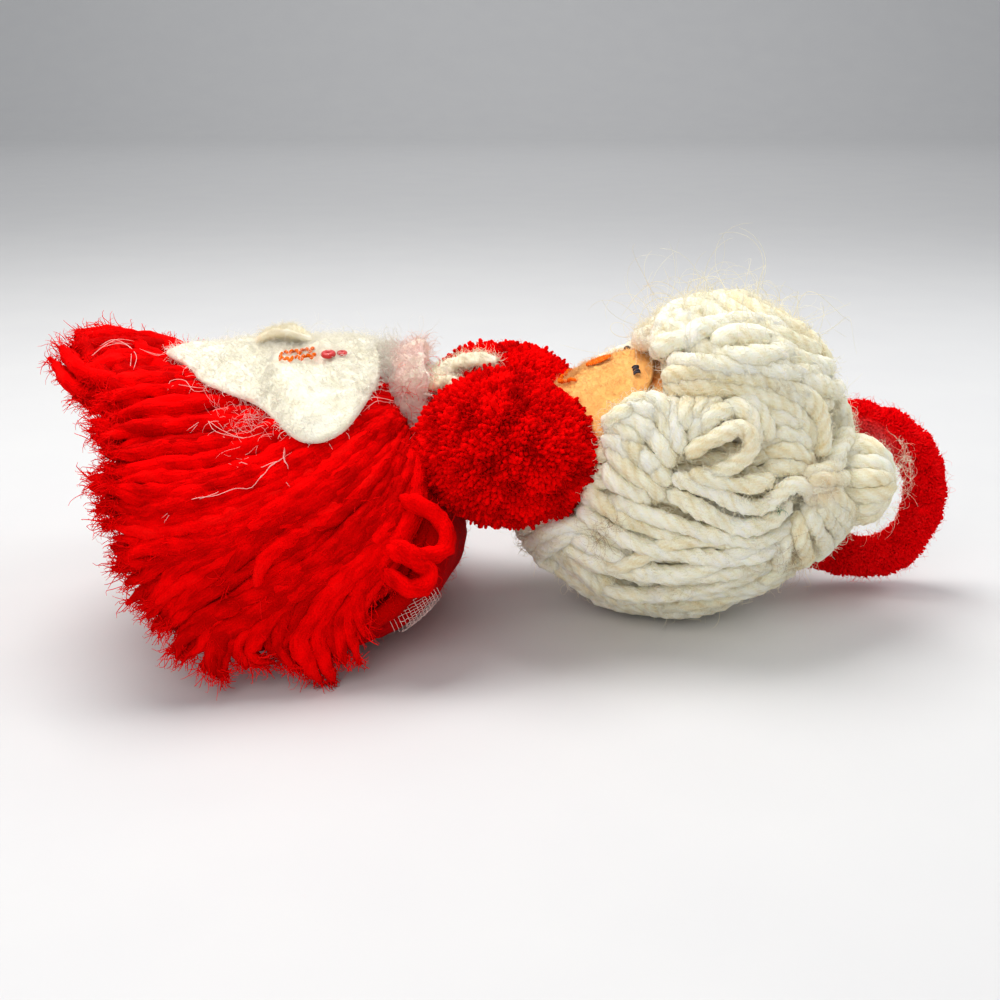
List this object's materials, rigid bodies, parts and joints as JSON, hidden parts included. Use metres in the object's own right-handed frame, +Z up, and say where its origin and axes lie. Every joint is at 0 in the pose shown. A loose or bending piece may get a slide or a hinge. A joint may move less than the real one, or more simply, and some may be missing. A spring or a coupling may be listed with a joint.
{
  "type": "yarn doll",
  "caption": "Small yarn doll ornament with pompom chest, fanned yarn skirt, felt apron, rolled yarn hair with a topknot, and a bendable hanging loop on the crown.",
  "frame": {"origin": "on the surface the doll lies on, under the middle of its bounding box", "axes": "+X from the skirt towards the crown of the head, +Z up out of the doll's face, +Y towards the doll's right side"},
  "size_m": [0.1292, 0.0666, 0.0472],
  "materials": {
    "red_yarn": "plied wool, matte",
    "red_felt": "felt, matte",
    "red_chenille": "chenille, fuzzy",
    "red_pompom": "cut wool, fuzzy",
    "cream_yarn": "plied wool, matte",
    "white_felt": "felt, matte",
    "cream_felt": "felt, matte",
    "peach_felt": "felt, matte",
    "orange_thread": "embroidery thread, satin",
    "red_bead": "satin",
    "black_thread": "embroidery thread, satin",
    "pale_thread": "thread, matte",
    "stem_wire": "drawn wire"
  },
  "bodies": {
    "doll": {"apron": "white_felt", "apron_bead_large": "red_bead", "apron_bead_small": "red_bead", "apron_petal": "cream_felt", "apron_stitching": "orange_thread", "cheek_lock_left": "cream_yarn", "cheek_lock_right": "cream_yarn", "chest_strap": "cream_felt", "chest_tie": "pale_thread", "crown_strand_1": "cream_yarn", "crown_strand_2": "cream_yarn", "crown_strand_3": "cream_yarn", "crown_strand_4": "cream_yarn", "eye_left": "black_thread", "eye_right": "black_thread", "face_felt": "peach_felt", "forehead_roll": "cream_yarn", "hair_lock_1": "cream_yarn", "hair_lock_2": "cream_yarn", "hair_lock_3": "cream_yarn", "hair_lock_4": "cream_yarn", "hair_lock_5": "cream_yarn", "hair_lock_6": "cream_yarn", "hanger_root_lower": "red_chenille", "hanger_root_upper": "red_chenille", "head_core": "peach_felt", "mouth_stitch": "orange_thread", "nose": "orange_thread", "pompom_left": "red_pompom", "pompom_right": "red_pompom", "side_curl_left": "cream_yarn", "side_curl_right": "cream_yarn", "skirt_base": "red_felt", "skirt_eyelet_1": "red_yarn", "skirt_eyelet_2": "red_yarn", "skirt_gather": "red_yarn", "skirt_lock_01": "red_yarn", "skirt_lock_02": "red_yarn", "skirt_lock_03": "red_yarn", "skirt_lock_04": "red_yarn", "skirt_lock_05": "red_yarn", "skirt_lock_06": "red_yarn", "skirt_lock_07": "red_yarn", "skirt_lock_08": "red_yarn", "skirt_lock_09": "red_yarn", "skirt_lock_10": "red_yarn", "skirt_lock_11": "red_yarn", "skirt_lock_12": "red_yarn", "skirt_lock_13": "red_yarn", "skirt_lock_14": "red_yarn", "skirt_lock_15": "red_yarn", "skirt_lock_16": "red_yarn", "skirt_lock_17": "red_yarn", "spine_stem": "stem_wire", "topknot_core": "cream_yarn", "topknot_tie": "pale_thread", "topknot_winding": "cream_yarn", "waist_band": "white_felt"},
    "hanger": {"hanger_loop": "red_chenille"}
  },
  "joints": [
    {"name": "hanger_bend", "type": "hinge", "parent": "doll", "child": "hanger", "pos_m": [0.0434, 0.00704, 0.007], "axis": [0.2008, 0, 0.9796], "range_deg": [-8, 60]}
  ]
}
